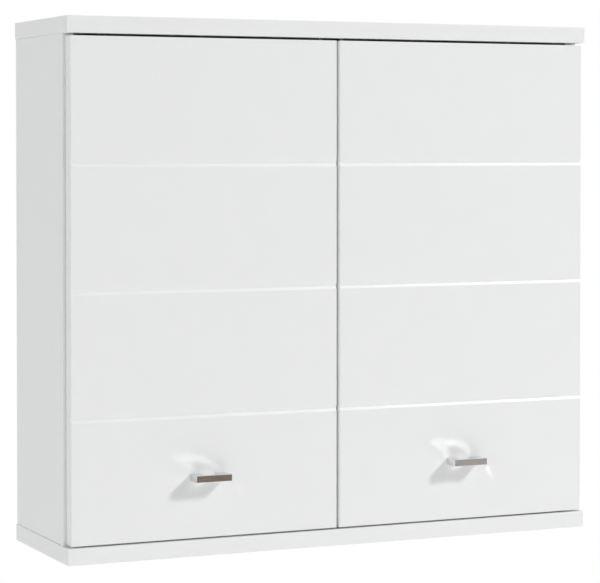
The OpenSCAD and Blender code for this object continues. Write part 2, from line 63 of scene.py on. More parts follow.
# An sRGB hex value as the linear colour that a socket takes
def toLinear(hexColour):
    channels = [int(hexColour[i:i + 2], 16) / 255 for i in (1, 3, 5)]
    return [c / 12.92 if c <= 0.04045 else ((c + 0.055) / 1.055) ** 2.4 for c in channels] + [1]


# Adds a node. inputs maps a socket's name or number to a value or to the socket that feeds it.
def addNode(tree, kind, inputs=None, **settings):
    node = tree.nodes.new(kind)
    for name, value in settings.items():
        setattr(node, name, value)
    for key, value in (inputs or {}).items():
        if isinstance(value, bpy.types.NodeSocket):
            tree.links.new(value, node.inputs[key])
        else:
            node.inputs[key].default_value = value
    return node


# Turns a finished bmesh into a piece in the scene
def newPiece(name, bm):
    mesh = bpy.data.meshes.new(name)
    bm.to_mesh(mesh)
    bm.free()
    piece = bpy.data.objects.new(name, mesh)
    bpy.context.scene.collection.objects.link(piece)
    return piece


# Makes a piece's modifiers part of its mesh and takes them off
def settle(piece):
    bpy.context.view_layer.update()
    graph = bpy.context.evaluated_depsgraph_get()
    rough = piece.data
    piece.data = bpy.data.meshes.new_from_object(piece.evaluated_get(graph))
    piece.modifiers.clear()
    bpy.data.meshes.remove(rough)
    piece.data.name = piece.name
    return piece


# Hands a finished piece over: its finish, the body it moves with and the nodes it stands for
def install(piece, body, slot, *nodes):
    piece.data.materials.clear()
    piece.data.materials.append(finishes[slot])
    piece.data.polygons.foreach_set("material_index", [0] * len(piece.data.polygons))
    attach(piece, body)
    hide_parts(*nodes)
    return piece


# Low and high corner of each separate solid in a node
def solidsOf(node):
    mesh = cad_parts[node].data
    keys = [tuple(round(c, 6) for c in v.co) for v in mesh.vertices]  # to the micrometre
    leader = {key: key for key in keys}

    def find(key):
        while leader[key] != key:
            leader[key] = leader[leader[key]]
            key = leader[key]
        return key

    for face in mesh.polygons:
        first = find(keys[face.vertices[0]])
        for index in face.vertices[1:]:
            leader[find(keys[index])] = first
    groups = {}
    for key in leader:
        groups.setdefault(find(key), []).append(key)
    corners = []
    for points in groups.values():
        low = Vector([min(p[k] for p in points) for k in range(3)])
        high = Vector([max(p[k] for p in points) for k in range(3)])
        corners.append((low, high))
    return sorted(corners, key=lambda pair: tuple(round(c, 5) for c in pair[0]))


# Turns a profile of (radius, height) round the Z axis. A radius of 0 closes the end in a point.
def latheMesh(profile, segments=40):
    bm = bmesh.new()
    rings = []
    for radius, height in profile:
        if radius == 0:
            rings.append([bm.verts.new((0, 0, height * mm))])
            continue
        ring = []
        for i in range(segments):
            angle = 2 * math.pi * i / segments
            ring.append(bm.verts.new((radius * mm * math.cos(angle),
                                      radius * mm * math.sin(angle), height * mm)))
        rings.append(ring)
    for lower, upper in zip(rings, rings[1:]):
        for i in range(segments):
            j = (i + 1) % segments
            if len(lower) == 1:
                bm.faces.new((lower[0], upper[j], upper[i]))
            elif len(upper) == 1:
                bm.faces.new((lower[i], lower[j], upper[0]))
            else:
                bm.faces.new((lower[i], lower[j], upper[j], upper[i]))
    bmesh.ops.recalc_face_normals(bm, faces=bm.faces)
    return bm


# A prism: outline points (x, y) in metres, from low to high along Z
def prismMesh(outline, low, high):
    bm = bmesh.new()
    bottom = [bm.verts.new((x, y, low)) for x, y in outline]
    top = [bm.verts.new((x, y, high)) for x, y in outline]
    bm.faces.new(bottom)
    bm.faces.new(top)
    for i in range(len(outline)):
        j = (i + 1) % len(outline)
        bm.faces.new((bottom[i], bottom[j], top[j], top[i]))
    bmesh.ops.recalc_face_normals(bm, faces=bm.faces)
    return bm


# Points along an arc, with its angles in degrees
def arcPoints(centreX, centreY, radius, fromAngle, toAngle, steps=6):
    points = []
    for i in range(steps + 1):
        angle = math.radians(fromAngle + (toAngle - fromAngle) * i / steps)
        points.append((centreX + radius * math.cos(angle), centreY + radius * math.sin(angle)))
    return points


# A welded copy of a node's own shape, with its flat faces made whole
def copyOf(node, name):
    bm = bmesh.new()
    bm.from_mesh(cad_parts[node].data)
    for layer in list(bm.loops.layers.uv):
        bm.loops.layers.uv.remove(layer)
    bmesh.ops.remove_doubles(bm, verts=bm.verts, dist=clean["weld"] * mm)
    bmesh.ops.dissolve_limit(bm, angle_limit=math.radians(clean["flat"]),
                             verts=bm.verts, edges=bm.edges)
    piece = newPiece(name, bm)
    if "custom_normal" in piece.data.attributes:
        piece.data.attributes.remove(piece.data.attributes["custom_normal"])
    return piece


# Low and high corner of a piece
def cornersOf(piece):
    points = [v.co for v in piece.data.vertices]
    return ([min(p[k] for p in points) for k in range(3)],
            [max(p[k] for p in points) for k in range(3)])


# Smooth shading, except across edges that fold by more than this many degrees
def smoothShade(bm, angle=clean["fold"]):
    for face in bm.faces:
        face.smooth = True
    for edge in bm.edges:
        edge.smooth = not edge.is_manifold or edge.calc_face_angle() < math.radians(angle)


# Rounds the edges that fold by more than angle and that share picks, by that share of the radius,
# and leaves the others crisp
def softenEdges(piece, radius, steps, share, clamp=False, angle=clean["fold"]):
    bm = bmesh.new()
    bm.from_mesh(piece.data)
    smoothShade(bm, angle)
    weight = bm.edges.layers.float.new("bevel_weight_edge")
    for edge in bm.edges:
        if not edge.smooth and share(edge):
            edge[weight] = share(edge)
            edge.smooth = True
    bm.to_mesh(piece.data)
    bm.free()
    bevel = piece.modifiers.new("roundedEdges", "BEVEL")
    bevel.limit_method = "WEIGHT"
    bevel.width = radius * mm
    bevel.segments = steps
    bevel.harden_normals = True
    bevel.use_clamp_overlap = clamp
    low, high = cornersOf(piece)
    settle(piece)
    for vertex in piece.data.vertices:
        vertex.co = [min(max(vertex.co[k], low[k]), high[k]) for k in range(3)]
    return piece


# Picks the edges on the outline of a box, such as the long edges and corners of a board
def onBoxOutline(piece):
    low, high = cornersOf(piece)

    def test(edge):
        a, b = (v.co for v in edge.verts)
        planes = 0
        for k in range(3):
            for side in (low[k], high[k]):
                planes += abs(a[k] - side) < near and abs(b[k] - side) < near
        return planes >= 2

    return test


# Picks the edges longer than this many millimetres
def longerThan(length):
    return lambda edge: edge.calc_length() > length * mm


# Rounds the plan corners at the two ends of a thin upright plate
def roundCorners(piece, radius, thickness):
    low, high = cornersOf(piece)
    bm = bmesh.new()
    bm.from_mesh(piece.data)
    corners = []
    for edge in bm.edges:
        ends = [min(abs(v.co.z - low[2]), abs(v.co.z - high[2])) for v in edge.verts]
        if max(ends) < near and edge.calc_length() < thickness * mm:
            corners.append(edge)
    bmesh.ops.bevel(bm, geom=corners, offset=radius * mm, offset_type="OFFSET", segments=5,
                    profile=0.5, affect="EDGES")
    bm.to_mesh(piece.data)
    bm.free()


# Cuts the solids of cutter out of piece
def cutAway(piece, cutter):
    cut = piece.modifiers.new("cut", "BOOLEAN")
    cut.operation = "DIFFERENCE"
    cut.solver = "EXACT"
    cut.use_self = True  # the two arms of a cross recess pass through each other
    cut.object = cutter
    settle(piece)
    bpy.data.objects.remove(cutter)
    return piece


# Gives a tree its one output and its named inputs
def newSockets(tree, inputs):
    tree.interface.new_socket("Geometry", in_out="OUTPUT", socket_type="NodeSocketGeometry")
    for name, kind in inputs:
        tree.interface.new_socket(name, in_out="INPUT", socket_type="NodeSocket" + kind)


# Runs a tree on a piece, with its named inputs set by their sockets' identifiers
def runTree(piece, tree, values):
    modifier = piece.modifiers.new(tree.name, "NODES")
    modifier.node_group = tree
    for item in tree.interface.items_tree:
        if item.in_out == "INPUT" and item.name in values:
            modifier[item.identifier] = values[item.name]
    return settle(piece)


# Puts a copy of one small piece at each point, turned by the point's own "turn"
def makeCopyTree():
    tree = bpy.data.node_groups.new("placeCopies", "GeometryNodeTree")
    newSockets(tree, [("Geometry", "Geometry"), ("Piece", "Object"), ("Spin", "Float"),
                      ("Seed", "Int"), ("Finish", "Material")])
    given = addNode(tree, "NodeGroupInput").outputs
    piece = addNode(tree, "GeometryNodeObjectInfo", {"Object": given["Piece"]})
    turn = addNode(tree, "GeometryNodeInputNamedAttribute", {"Name": "turn"},
                   data_type="FLOAT_VECTOR")
    placed = addNode(tree, "GeometryNodeInstanceOnPoints", {
        "Points": given["Geometry"],
        "Instance": piece.outputs["Geometry"],
        "Rotation": turn.outputs["Attribute"],
    })
    # Sockets 3 and 8 are the greatest value and the seed
    chance = addNode(tree, "FunctionNodeRandomValue", {3: given["Spin"], 8: given["Seed"]},
                     data_type="FLOAT")
    angle = addNode(tree, "ShaderNodeCombineXYZ", {"Z": chance.outputs[1]})
    spun = addNode(tree, "GeometryNodeRotateInstances", {
        "Instances": placed.outputs["Instances"],
        "Rotation": angle.outputs["Vector"],
    })
    whole = addNode(tree, "GeometryNodeRealizeInstances", {"Geometry": spun.outputs["Instances"]})
    done = addNode(tree, "GeometryNodeSetMaterial", {
        "Geometry": whole.outputs["Geometry"],
        "Material": given["Finish"],
    })
    addNode(tree, "NodeGroupOutput", {"Geometry": done.outputs["Geometry"]})
    return tree


# Cuts level V grooves of one pitch, width and depth across the front of a door
def makeGrooveTree():
    tree = bpy.data.node_groups.new("grooveFront", "GeometryNodeTree")
    newSockets(tree, [("Geometry", "Geometry"), ("Highest", "Vector"), ("Length", "Float"),
                      ("Grooves", "Int"), ("Pitch", "Float"), ("Width", "Float"),
                      ("Depth", "Float"), ("Finish", "Material")])
    given = addNode(tree, "NodeGroupInput").outputs
    # A four-sided bar on edge, flattened to the groove's half width and depth
    bar = addNode(tree, "GeometryNodeMeshCylinder", {
        "Vertices": 4, "Radius": 1.0, "Depth": given["Length"],
    })
    halfWidth = addNode(tree, "ShaderNodeMath", {0: given["Width"], 1: 0.5}, operation="MULTIPLY")
    section = addNode(tree, "ShaderNodeCombineXYZ", {
        "X": halfWidth.outputs[0], "Y": given["Depth"], "Z": 1.0,
    })
    cutter = addNode(tree, "GeometryNodeTransform", {
        "Geometry": bar.outputs["Mesh"], "Scale": section.outputs["Vector"],
    })
    pitch = addNode(tree, "ShaderNodeMath", {0: given["Pitch"], 1: -1.0}, operation="MULTIPLY")
    drop = addNode(tree, "ShaderNodeCombineXYZ", {"Z": pitch.outputs[0]})
    line = addNode(tree, "GeometryNodeMeshLine", {
        "Count": given["Grooves"],
        "Start Location": given["Highest"],
        "Offset": drop.outputs["Vector"],
    })
    placed = addNode(tree, "GeometryNodeInstanceOnPoints", {
        "Points": line.outputs["Mesh"],
        "Instance": cutter.outputs["Geometry"],
        "Rotation": (0, math.pi / 2, 0),
    })
    bars = addNode(tree, "GeometryNodeRealizeInstances", {
        "Geometry": placed.outputs["Instances"],
    })
    cut = addNode(tree, "GeometryNodeMeshBoolean", {
        "Mesh 1": given["Geometry"],
        "Mesh 2": bars.outputs["Geometry"],
    }, operation="DIFFERENCE", solver="EXACT")
    whole = addNode(tree, "GeometryNodeRealizeInstances", {"Geometry": cut.outputs["Mesh"]})
    done = addNode(tree, "GeometryNodeSetMaterial", {
        "Geometry": whole.outputs["Geometry"],
        "Material": given["Finish"],
    })
    addNode(tree, "NodeGroupOutput", {"Geometry": done.outputs["Geometry"]})
    return tree


copyTree = makeCopyTree()
grooveTree = makeGrooveTree()


# One mesh of copies of unit. Each spot is a place, the way its own Z points and the way its Y does.
def copies(name, unit, spots, slot, spin=0.0, seed=1):
    mesh = bpy.data.meshes.new(name)
    mesh.from_pydata([place for place, ahead, up in spots], [], [])
    turns = []
    for place, ahead, up in spots:
        across = up.cross(ahead)
        turns.extend(Matrix((across, up, ahead)).transposed().to_euler())
    mesh.attributes.new("turn", "FLOAT_VECTOR", "POINT").data.foreach_set("vector", turns)
    piece = bpy.data.objects.new(name, mesh)
    bpy.context.scene.collection.objects.link(piece)
    runTree(piece, copyTree, {
        "Piece": unit, "Spin": spin, "Seed": seed, "Finish": finishes[slot],
    })
    bpy.data.objects.remove(unit)
    return piece


finishes = {}


# Makes a finish from its recipe. A pattern is noise: one lump every so many millimetres, its detail
# and its stretch. Colour, roughness and relief each follow one, and relief heights are millimetres.
def makeFinish(slot, name, recipe):
    material = bpy.data.materials.new(name)
    material.use_nodes = True
    tree = material.node_tree
    shader = tree.nodes["Principled BSDF"]
    place = addNode(tree, "ShaderNodeTexCoord").outputs["Object"]
    patterns = {}
    for title, (every, detail, stretch) in recipe["patterns"].items():
        fit = addNode(tree, "ShaderNodeMapping", {"Vector": place, "Scale": stretch})
        patterns[title] = addNode(tree, "ShaderNodeTexNoise", {
            "Vector": fit.outputs["Vector"],
            "Scale": 1 / (every * mm),
            "Detail": detail,
        }).outputs["Fac"]
    if "cells" in recipe:
        cells = addNode(tree, "ShaderNodeTexVoronoi", {
            "Vector": place, "Scale": 1 / (recipe["cells"] * mm),
        }).outputs["Color"]
        patterns["cells"] = addNode(tree, "ShaderNodeSeparateColor", {"Color": cells}).outputs[0]

    title, first, second = recipe["colour"]
    colour = addNode(tree, "ShaderNodeMix", {
        0: patterns[title], 6: toLinear(first), 7: toLinear(second),
    }, data_type="RGBA").outputs[2]
    tree.links.new(colour, shader.inputs["Base Color"])

    title, smoothest, roughest = recipe["roughness"]
    roughness = addNode(tree, "ShaderNodeMapRange", {
        "Value": patterns[title],
        "From Min": noiseSpan[0],
        "From Max": noiseSpan[1],
        "To Min": smoothest,
        "To Max": roughest,
    }).outputs["Result"]
    tree.links.new(roughness, shader.inputs["Roughness"])

    normal = None
    for title, height in recipe.get("relief", []):
        inputs = {"Height": patterns[title], "Strength": 1.0, "Distance": height * mm}
        if normal:
            inputs["Normal"] = normal
        normal = addNode(tree, "ShaderNodeBump", inputs).outputs["Normal"]
    if normal:
        tree.links.new(normal, shader.inputs["Normal"])

    for socket, value in recipe.get("shader", {}).items():
        shader.inputs[socket].default_value = value
    finishes[slot] = material


noiseSpan = (0.3, 0.7)  # most of a noise pattern lies between these
even = (1, 1, 1)

# Sprayed satin lacquer over fibreboard: an even white with a soft sheen, its reflections
# broken a little by orange peel, drawn at 2.4 mm so that it shows
makeFinish("white_lacquer", "satinLacquer", {
    "patterns": {"peel": (2.4, 1, even), "waves": (38, 2, even), "mist": (14, 2, even)},
    "colour": ("waves", "#F0F1F1", "#EEEFEF"),
    "roughness": ("mist", 0.31, 0.37),
    "relief": [("waves", 0.016), ("peel", 0.0035)],
    "shader": {"IOR": 1.5},
})

# White-faced hardboard: a duller white film over pressed fibres
makeFinish("white_hardboard", "facedHardboard", {
    "patterns": {"fibre": (1.8, 4, (1, 1, 0.35))},
    "colour": ("fibre", "#EAEAE8", "#E3E3E0"),
    "roughness": ("fibre", 0.5, 0.62),
    "relief": [("fibre", 0.02)],
})

# Bright chrome over polished zinc: a hard mirror, slightly wavy from the polishing wheel
makeFinish("chrome", "brightChrome", {
    "patterns": {"ripple": (9, 1, (0.45, 1, 1)), "tarnish": (3, 2, even), "haze": (1.2, 2, even)},
    "colour": ("tarnish", "#E2E3E4", "#DADBDC"),
    "roughness": ("haze", 0.04, 0.09),
    "relief": [("ripple", 0.08)],
    "shader": {"Metallic": 1},
})

# Nickel plate on pressed steel: warm grey metal with a soft, slightly uneven shine
makeFinish("nickel_steel", "nickelSteel", {
    "patterns": {"grain": (1.1, 3, even), "tint": (7, 2, even)},
    "colour": ("tint", "#D2CCC2", "#C4BEB4"),
    "roughness": ("grain", 0.28, 0.38),
    "relief": [("grain", 0.004)],
    "shader": {"Metallic": 1},
})

# Zinc-plated sheet steel: cool grey with the flat crystals of the zinc, about 5 mm across
makeFinish("galvanised_steel", "galvanisedSteel", {
    "patterns": {"skin": (2.5, 2, even)},
    "cells": 5,
    "colour": ("cells", "#CBD0D3", "#AEB4B8"),
    "roughness": ("cells", 0.3, 0.45),
    "relief": [("skin", 0.006)],
    "shader": {"Metallic": 1},
})

# Raw die-cast zinc: dull grey metal with the faint skin of the mould
makeFinish("zinc_alloy", "dieCastZinc", {
    "patterns": {"skin": (0.9, 3, even)},
    "colour": ("skin", "#A8AAAD", "#94969A"),
    "roughness": ("skin", 0.4, 0.56),
    "relief": [("skin", 0.012)],
    "shader": {"Metallic": 1},
})

# Moulded nylon: milky white, with the fine grain of a spark-eroded mould
makeFinish("white_plastic", "mouldedNylon", {
    "patterns": {"grain": (0.8, 2, even), "cloud": (12, 2, even)},
    "colour": ("cloud", "#ECECEA", "#E4E4E1"),
    "roughness": ("grain", 0.36, 0.48),
    "relief": [("grain", 0.012)],
    "shader": {"IOR": 1.53, "Subsurface Weight": 0.04},
})

# Turned beech: pale brown with short darker flecks along the grain, which runs up the dowel
makeFinish("beech", "turnedBeech", {
    "patterns": {"fleck": (0.7, 4, (1, 1, 0.12))},
    "colour": ("fleck", "#DDBA90", "#B98A5C"),
    "roughness": ("fleck", 0.55, 0.7),
    "relief": [("fleck", 0.03)],
})

# Soft translucent polyurethane: a pale, half-clear dome with a slightly hazy skin
makeFinish("clear_rubber", "clearUrethane", {
    "patterns": {"cloud": (1.5, 2, even)},
    "colour": ("cloud", "#F1F4F3", "#E7ECEB"),
    "roughness": ("cloud", 0.12, 0.24),
    "shader": {"Transmission Weight": 0.4, "IOR": 1.5},
})
print("finishes made:", len(finishes))

cameraSet = {
    "place": (-865.0, -2572.4, 489.3),  # from the cabinet's lower left front corner, mm
    "lens": 140.0,
    "sensor": 36,
    "shift": -0.15,
    "yaw": 24.288,
    "pitch": -1.376,
}
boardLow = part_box("top_board")[0]
corner = Vector((boardLow.x, boardLow.y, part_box("bottom_board")[0].z))
cameraData = bpy.data.cameras.new("camera")
cameraData.lens = cameraSet["lens"]
cameraData.sensor_width = cameraSet["sensor"]
cameraData.shift_y = cameraSet["shift"]
camera = bpy.data.objects.new("camera", cameraData)
camera.location = corner + Vector(cameraSet["place"]) * mm
camera.rotation_euler = (math.radians(90 + cameraSet["pitch"]), 0, -math.radians(cameraSet["yaw"]))
bpy.context.scene.collection.objects.link(camera)
bpy.context.scene.camera = camera
bpy.context.scene.view_settings.view_transform = "Standard"

# Many bounces light the gaps and the inside, and guided, unblurred paths let the chrome handles
# throw their light on the doors
paths = bpy.context.scene.cycles
paths.max_bounces = 24
paths.diffuse_bounces = 16
paths.use_guiding = True
paths.blur_glossy = 0
paths.sample_clamp_indirect = 0

# A soft box up on the right throws the short shadows down to the left
keySet = {"from": (1.09, -1.0, 0.98), "aim": -0.1, "distance": 8.0, "size": 1.25, "power": 310}
target = Vector((0, boardLow.y, (cadLow.z + cadHigh.z) / 2 + keySet["aim"]))
keyData = bpy.data.lights.new("softBox", "AREA")
keyData.shape = "DISK"
keyData.size = keySet["size"]
keyData.energy = keySet["power"]
keyLight = bpy.data.objects.new("softBox", keyData)
keyLight.location = target + Vector(keySet["from"]).normalized() * keySet["distance"]
keyLight.rotation_euler = (target - keyLight.location).to_track_quat("-Z", "Y").to_euler()
keyLight.visible_camera = False
bpy.context.scene.collection.objects.link(keyLight)

# White all round, brighter on the left and above, with one dim warm patch in front, low and to
# the right, where the room is open, and a small window beside it: the handles mirror both
roomSet = {
    "light": 0.447,
    "slope": (-0.83, 0, 0.25),  # how much brighter the room gets to the left and upwards
    "patch": {"towards": (0.33, -0.93, -0.14), "inner": 4, "outer": 11.8},  # degrees
    "window": {"towards": (0.473, -0.871, -0.135), "inner": 1.5, "outer": 5.5},
    "windowLight": 0.27,
    "dark": "#BE947A",
    "things": "#FFF4E6",
    "thingSize": 1.6,  # degrees
}
white = (1, 1, 1, 1)
world = bpy.data.worlds.new("studio")
bpy.context.scene.world = world
world.use_nodes = True
tree = world.node_tree
tree.nodes.clear()
direction = addNode(tree, "ShaderNodeTexCoord").outputs["Generated"]
spread = {}
for area in ("patch", "window"):
    nearness = addNode(tree, "ShaderNodeVectorMath", {
        0: direction, 1: Vector(roomSet[area]["towards"]).normalized(),
    }, operation="DOT_PRODUCT").outputs["Value"]
    spread[area] = addNode(tree, "ShaderNodeMapRange", {
        "Value": nearness,
        "From Min": math.cos(math.radians(roomSet[area]["outer"])),
        "From Max": math.cos(math.radians(roomSet[area]["inner"])),
    }, interpolation_type="SMOOTHSTEP").outputs["Result"]
things = addNode(tree, "ShaderNodeTexNoise", {
    "Vector": direction, "Scale": 1 / math.radians(roomSet["thingSize"]), "Detail": 1.0,
}).outputs["Fac"]
thingShare = addNode(tree, "ShaderNodeMapRange", {
    "Value": things, "From Min": noiseSpan[0], "From Max": noiseSpan[1],
}).outputs["Result"]
thingColour = addNode(tree, "ShaderNodeMix", {
    0: thingShare, 6: toLinear(roomSet["dark"]), 7: toLinear(roomSet["things"]),
}, data_type="RGBA").outputs[2]
roomColour = addNode(tree, "ShaderNodeMix", {
    0: spread["patch"], 6: white, 7: thingColour,
}, data_type="RGBA").outputs[2]
slope = addNode(tree, "ShaderNodeVectorMath", {
    0: direction, 1: roomSet["slope"],
}, operation="DOT_PRODUCT").outputs["Value"]
wallLight = addNode(tree, "ShaderNodeMath", {
    0: slope, 1: roomSet["light"], 2: roomSet["light"],
}, operation="MULTIPLY_ADD").outputs[0]
strength = addNode(tree, "ShaderNodeMath", {
    0: spread["window"], 1: roomSet["windowLight"], 2: wallLight,
}, operation="MULTIPLY_ADD").outputs[0]
roomLight = addNode(tree, "ShaderNodeBackground", {"Color": roomColour, "Strength": strength})
plainWhite = addNode(tree, "ShaderNodeBackground", {"Color": white, "Strength": 1.0})
seen = addNode(tree, "ShaderNodeLightPath").outputs["Is Camera Ray"]
chosen = addNode(tree, "ShaderNodeMixShader", {
    0: seen, 1: roomLight.outputs[0], 2: plainWhite.outputs[0],
})
addNode(tree, "ShaderNodeOutputWorld", {"Surface": chosen.outputs[0]})

# A plain pale floor well below the hanging cabinet
floorSet = {"below": 1.2, "radius": 4.6, "corners": 96, "white": "#F2F2F1", "roughness": 0.9, "glow": 0.38}
bm = bmesh.new()
bmesh.ops.create_circle(bm, cap_ends=True, segments=floorSet["corners"], radius=floorSet["radius"])
bmesh.ops.translate(bm, verts=bm.verts, vec=(0, 0, cadLow.z - floorSet["below"]))
floor = newPiece("floor", bm)
floorFinish = bpy.data.materials.new("paleFloor")
floorFinish.use_nodes = True
floorShader = floorFinish.node_tree.nodes["Principled BSDF"]
floorShader.inputs["Base Color"].default_value = toLinear(floorSet["white"])
floorShader.inputs["Roughness"].default_value = floorSet["roughness"]
floorShader.inputs["Emission Color"].default_value = white
floorShader.inputs["Emission Strength"].default_value = floorSet["glow"]
floor.data.materials.append(floorFinish)
print("camera, light and floor set")

boardSet = {"edge": 0.9, "steps": 4}
for node, name in [("top_board", "topBoard"), ("bottom_board", "bottomBoard"),
                   ("left_side_board", "leftSideBoard"), ("right_side_board", "rightSideBoard"),
                   ("upper_shelf", "upperShelf"), ("lower_shelf", "lowerShelf")]:
    board = copyOf(node, name)
    softenEdges(board, boardSet["edge"], boardSet["steps"], onBoxOutline(board))
    install(board, "carcass", "white_lacquer", node)
panelSet = {"edge": 0.25, "steps": 2, "shortest": 20}
panel = copyOf("back_panel", "backPanel")
softenEdges(panel, panelSet["edge"], panelSet["steps"], longerThan(panelSet["shortest"]))
install(panel, "carcass", "white_hardboard", "back_panel")
print("boards made")

doorSet = {
    "round": 2.0,  # on the two edges that meet in the middle
    "edge": 0.9,  # on the other outer edges
    "grooveEdge": 0.5,
    "backRound": 1.5,
    "steps": 4,
    "foldAngle": 20,  # degrees: the groove's edges fold by more, the round back corner's by less
    "grooves": 3, "firstGroove": 149.5, "pitch": 149.5, "width": 7, "depth": 1.6,
    "cutPast": 20,  # how much longer a groove's cutter is than the door is wide
    "cup": 17.5, "cupRadius": 17.6, "cupDepth": 12.6, "cupPast": 1, "cupCorners": 72,
}


# Cuts the recesses for a door's two hinge cups
def cutCups(door, side, sign, back):
    bm = bmesh.new()
    past = doorSet["cupPast"] * mm
    height = doorSet["cupDepth"] * mm
    radius = doorSet["cupRadius"] * mm
    for place in ("upper", "lower"):
        cupLow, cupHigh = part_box(side + "_" + place + "_hinge_cup")
        centreX = sign * (max(abs(cupLow.x), abs(cupHigh.x)) - doorSet["cup"] * mm)
        spot = Matrix.Translation((centreX, back - height / 2 + past, (cupLow.z + cupHigh.z) / 2))
        bmesh.ops.create_cone(bm, cap_ends=True, segments=doorSet["cupCorners"],
                              depth=height + 2 * past, radius1=radius, radius2=radius,
                              matrix=spot @ Matrix.Rotation(math.pi / 2, 4, "X"))
    cutAway(door, newPiece("cupCutter", bm))


# A door board: its outline from above, the grooves, the cup recesses, then the rounded edges
def makeDoor(side, sign):
    low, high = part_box(side + "_door_board")
    front, back = low.y, high.y
    inner = min(abs(low.x), abs(high.x))
    outer = max(abs(low.x), abs(high.x))
    radius = doorSet["backRound"] * mm
    outline = [(inner, front), (outer, front)]
    outline += arcPoints(outer - radius, back - radius, radius, 0, 90)
    outline += [(inner, back)]
    bm = prismMesh([(sign * x, y) for x, y in outline], low.z, high.z)
    door = newPiece(side + "DoorBoard", bm)
    firstGroove = high.z - doorSet["firstGroove"] * mm
    runTree(door, grooveTree, {
        "Highest": Vector((sign * (inner + outer) / 2, front, firstGroove)),
        "Length": outer - inner + doorSet["cutPast"] * mm,
        "Grooves": doorSet["grooves"],
        "Pitch": doorSet["pitch"] * mm,
        "Width": doorSet["width"] * mm,
        "Depth": doorSet["depth"] * mm,
        "Finish": finishes["white_lacquer"],
    })
    cutCups(door, side, sign, back)
    grooveFloor = front + doorSet["depth"] * mm + 10 * near
    onOutline = onBoxOutline(door)
    small = doorSet["edge"] / doorSet["round"]
    smallest = doorSet["grooveEdge"] / doorSet["round"]

    def share(edge):
        a, b = (v.co for v in edge.verts)
        upright = abs(a.x - b.x) < near and abs(a.z - b.z) > mm
        level = abs(a.z - b.z) < near
        if upright and abs(abs(a.x) - inner) < near:
            return 1.0
        if level and low.z + mm < a.z < high.z - mm and a.y < grooveFloor:
            return smallest
        if level and min(abs(a.z - low.z), abs(a.z - high.z)) < near:
            return small
        return small if onOutline(edge) or max(a.y, b.y) < grooveFloor else 0

    softenEdges(door, doorSet["round"], doorSet["steps"], share, angle=doorSet["foldAngle"])
    install(door, side + "_door", "white_lacquer", side + "_door_board")


makeDoor("left", -1)
makeDoor("right", 1)
print("doors made")

handleSet = {"bar": 8, "gap": 19, "corner": 3, "edge": 0.35, "steps": 3}


# A bow handle cut from one bar: a front bar on two legs round the finger gap
def makeHandle(side):
    low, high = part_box(side + "_handle")
    corner = handleSet["corner"] * mm
    middle = (low.x + high.x) / 2
    gapLow = middle - handleSet["gap"] / 2 * mm
    gapHigh = middle + handleSet["gap"] / 2 * mm
    gapFloor = low.y + handleSet["bar"] * mm
    outline = [(low.x, high.y), (low.x, low.y), (high.x, low.y), (high.x, high.y), (gapHigh, high.y)]
    outline += arcPoints(gapHigh - corner, gapFloor + corner, corner, 0, -90)
    outline += arcPoints(gapLow + corner, gapFloor + corner, corner, -90, -180)
    outline += [(gapLow, high.y)]
    handle = newPiece(side + "Handle", prismMesh(outline, low.z, high.z))
    softenEdges(handle, handleSet["edge"], handleSet["steps"], lambda edge: True)
    install(handle, side + "_door", "chrome", side + "_handle")


makeHandle("left")
makeHandle("right")
print("handles made")

# A screw's head as shares of its radius and height, and its thread rings in millimetres, with
# radii as shares of the shank's
headOutline = [(1, 0), (1, 0.3), (0.94, 0.62), (0.74, 0.9), (0.45, 1), (0, 1)]
thread = {"pitch": 1.4, "fewest": 4, "end": 0.8, "rise": 0.35, "plain": 0.4,
          "tip": 0.6, "root": 0.78, "neck": 0.8, "corners": 32}
# The cross recess: shares of the head's radius and height, with the greatest depth in millimetres
cross = {"reach": 0.52, "half": 0.09, "depth": 0.75, "deepest": 1.4, "taper": 0.45, "narrow": 0.6}


# A solid cross that tapers downwards, to cut the recess with
def crossCutter(headRadius, headHeight):
    half = headRadius * cross["reach"] * mm
    wide = headRadius * cross["half"] * mm
    top = headHeight * mm + wide
    floorZ = headHeight * mm - min(headHeight * cross["depth"], cross["deepest"]) * mm
    bm = bmesh.new()
    for turned in (True, False):
        arm = []
        for x, y, z in ((half, wide, top), (half * cross["taper"], wide * cross["narrow"], floorZ)):
            arm += [bm.verts.new(spot) for spot in ((-x, -y, z), (x, -y, z), (x, y, z), (-x, y, z))]
        for a, b, c, d in ((0, 1, 2, 3), (7, 6, 5, 4), (0, 4, 5, 1), (1, 5, 6, 2),
                           (2, 6, 7, 3), (3, 7, 4, 0)):
            bm.faces.new((arm[a], arm[b], arm[c], arm[d]))
        if turned:
            bmesh.ops.rotate(bm, verts=arm, cent=(0, 0, 0),
                             matrix=Matrix.Rotation(math.pi / 2, 3, "Z"))
    bmesh.ops.recalc_face_normals(bm, faces=bm.faces)
    return newPiece("crossCutter", bm)


# A pan-head screw with a cross recess: its head stands above z = 0 and its shank goes down
def panScrew(headRadius, headHeight, shankRadius, shankLength):
    profile = [(0, -shankLength), (shankRadius * thread["tip"], -shankLength)]
    turns = max(thread["fewest"], int(shankLength / thread["pitch"]))
    for i in range(turns):
        z = -shankLength + thread["end"] + i * (shankLength - 2 * thread["end"]) / turns
        profile += [(shankRadius * thread["root"], z), (shankRadius, z + thread["rise"])]
    neck = shankRadius * thread["neck"]
    profile += [(neck, -thread["plain"]), (neck, 0)]
    profile += [(headRadius * across, headHeight * up) for across, up in headOutline]
    screw = newPiece("screwUnit", latheMesh(profile, thread["corners"]))
    cutAway(screw, crossCutter(headRadius, headHeight))
    bm = bmesh.new()
    bm.from_mesh(screw.data)
    smoothShade(bm)
    bm.to_mesh(screw.data)
    bm.free()
    return screw


# A small turned piece, smooth round its sides
def latheUnit(name, profile, segments=40):
    bm = latheMesh(profile, segments)
    smoothShade(bm)
    return newPiece(name, bm)


